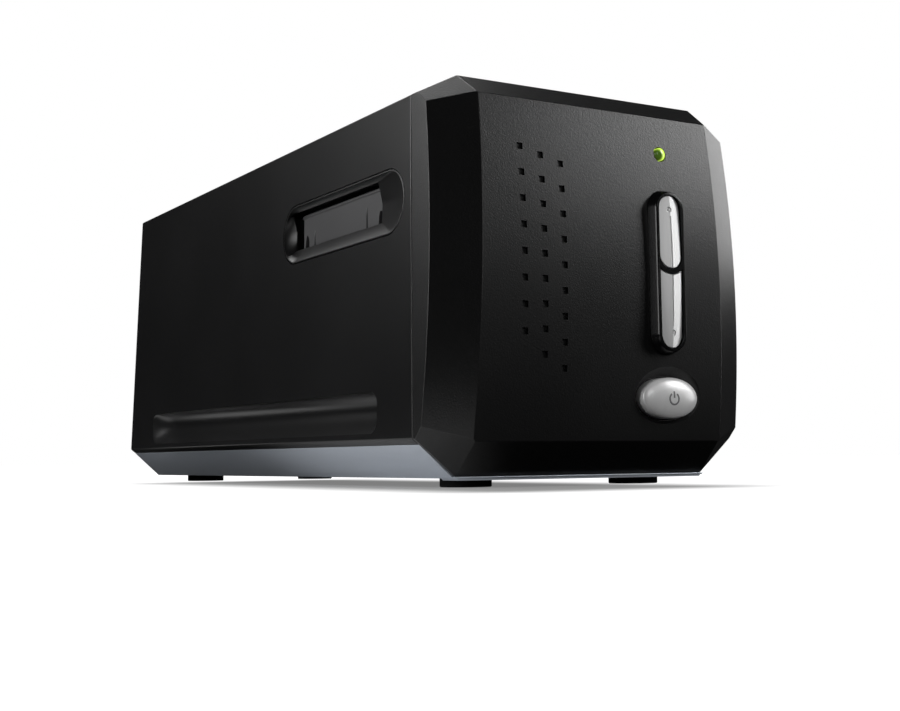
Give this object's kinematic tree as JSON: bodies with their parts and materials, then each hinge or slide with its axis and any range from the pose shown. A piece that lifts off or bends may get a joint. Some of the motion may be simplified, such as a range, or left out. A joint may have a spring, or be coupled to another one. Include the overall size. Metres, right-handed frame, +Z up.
{
  "type": "film negative scanner",
  "caption": "Desktop film scanner: long black housing on a silver tray, film slots with dust doors through the sides, push buttons in front and a moving optical carriage inside.",
  "frame": {"origin": "centre of the bounding box on the plane the feet stand on", "axes": "+X to the right seen from the front, +Y to the rear along the long way of the housing, +Z up"},
  "size_m": [0.1174, 0.2753, 0.1208],
  "materials": {
    "shell_black": "satin moulded black",
    "bezel_black": "fine-textured moulded black",
    "gloss_black": "glossy black",
    "door_grey": "satin dark grey",
    "tray_silver": "satin silver-blue paint",
    "button_silver": "satin silver",
    "rubber_black": "matt rubber",
    "status_lens": "lit yellow-green lens",
    "steel": "satin steel",
    "brass": "machined",
    "mirror_glass": "front-surface mirror",
    "lens_black": "black anodised",
    "circuit_green": "solder mask",
    "white_plastic": "natural white",
    "frame_grey": "moulded dark grey"
  },
  "bodies": {
    "housing": {"base_tray": "tray_silver", "body_shell": "shell_black", "front_bezel": "bezel_black", "rear_panel": "shell_black", "foot_front_left": "rubber_black", "foot_front_right": "rubber_black", "foot_rear_left": "rubber_black", "foot_rear_right": "rubber_black", "rear_screw_1": "steel", "rear_screw_2": "steel", "rear_screw_3": "steel", "rear_screw_4": "steel", "base_screw_1": "steel", "base_screw_2": "steel", "base_screw_3": "steel", "base_screw_4": "steel", "button_collar": "gloss_black", "status_lens": "status_lens", "key_board": "circuit_green", "upper_key_switch": "frame_grey", "lower_key_switch": "frame_grey", "power_switch": "frame_grey", "left_slot_surround": "gloss_black", "right_slot_surround": "gloss_black", "guide_rod_left": "steel", "guide_rod_right": "steel", "film_guide_lower": "frame_grey", "film_guide_upper": "frame_grey", "lamp_housing": "white_plastic", "lamp_board": "circuit_green", "diffuser": "white_plastic", "chassis_frame": "frame_grey", "stepper_motor": "steel", "main_board": "circuit_green", "usb_socket": "steel", "power_inlet": "gloss_black", "home_sensor": "gloss_black"},
    "left_door": {"left_dust_door": "door_grey"},
    "right_door": {"right_dust_door": "door_grey"},
    "upper_key": {"upper_scan_button": "button_silver"},
    "lower_key": {"lower_scan_button": "button_silver"},
    "power_key": {"power_button": "button_silver"},
    "detent": {"detent_plunger": "steel"},
    "carriage": {"carriage_frame": "frame_grey", "mirror": "mirror_glass", "lens_barrel": "lens_black", "lens_clamp": "steel", "sensor_board": "circuit_green", "ccd_sensor": "gloss_black", "drive_nut": "brass"},
    "screw": {"lead_screw": "steel", "screw_gear": "white_plastic"},
    "rotor": {"motor_pinion": "brass"}
  },
  "joints": [
    {"name": "left_door_hinge", "type": "hinge", "parent": "housing", "child": "left_door", "pos_m": [-0.05136, -0.06285, 0.09165], "axis": [0, -1, 0], "range_deg": [-70, 75]},
    {"name": "right_door_hinge", "type": "hinge", "parent": "housing", "child": "right_door", "pos_m": [0.05136, -0.06285, 0.09165], "axis": [0, 1, 0], "range_deg": [-70, 75]},
    {"name": "upper_key_press", "type": "slide", "parent": "housing", "child": "upper_key", "axis": [0, 1, 0], "range_m": [0, 0.0008], "stiffness_N_per_m": 1200, "springref_m": -0.0004},
    {"name": "lower_key_press", "type": "slide", "parent": "housing", "child": "lower_key", "axis": [0, 1, 0], "range_m": [0, 0.0008], "stiffness_N_per_m": 1200, "springref_m": -0.0004},
    {"name": "power_key_press", "type": "slide", "parent": "housing", "child": "power_key", "axis": [0, 1, 0], "range_m": [0, 0.0012], "stiffness_N_per_m": 1000, "springref_m": -0.0004},
    {"name": "detent_lift", "type": "slide", "parent": "housing", "child": "detent", "axis": [0, 0, 1], "range_m": [0, 0.0012], "stiffness_N_per_m": 800, "springref_m": -0.0004},
    {"name": "carriage_scan", "type": "slide", "parent": "housing", "child": "carriage", "axis": [0, -1, 0], "range_m": [0, 0.026]},
    {"name": "screw_spin", "type": "hinge", "parent": "housing", "child": "screw", "pos_m": [0, 0, 0.024], "axis": [0, 1, 0], "range_deg": [-5, 1175]},
    {"name": "motor_spin", "type": "hinge", "parent": "housing", "child": "rotor", "pos_m": [0, 0.115, 0.04335], "axis": [0, 1, 0], "range_deg": [-3525, 15]}
  ],
  "couplings": [
    {"joint": "screw_spin", "follows": "carriage_scan", "rad_per_m": 785.4},
    {"joint": "motor_spin", "follows": "carriage_scan", "rad_per_m": -2356.2}
  ]
}
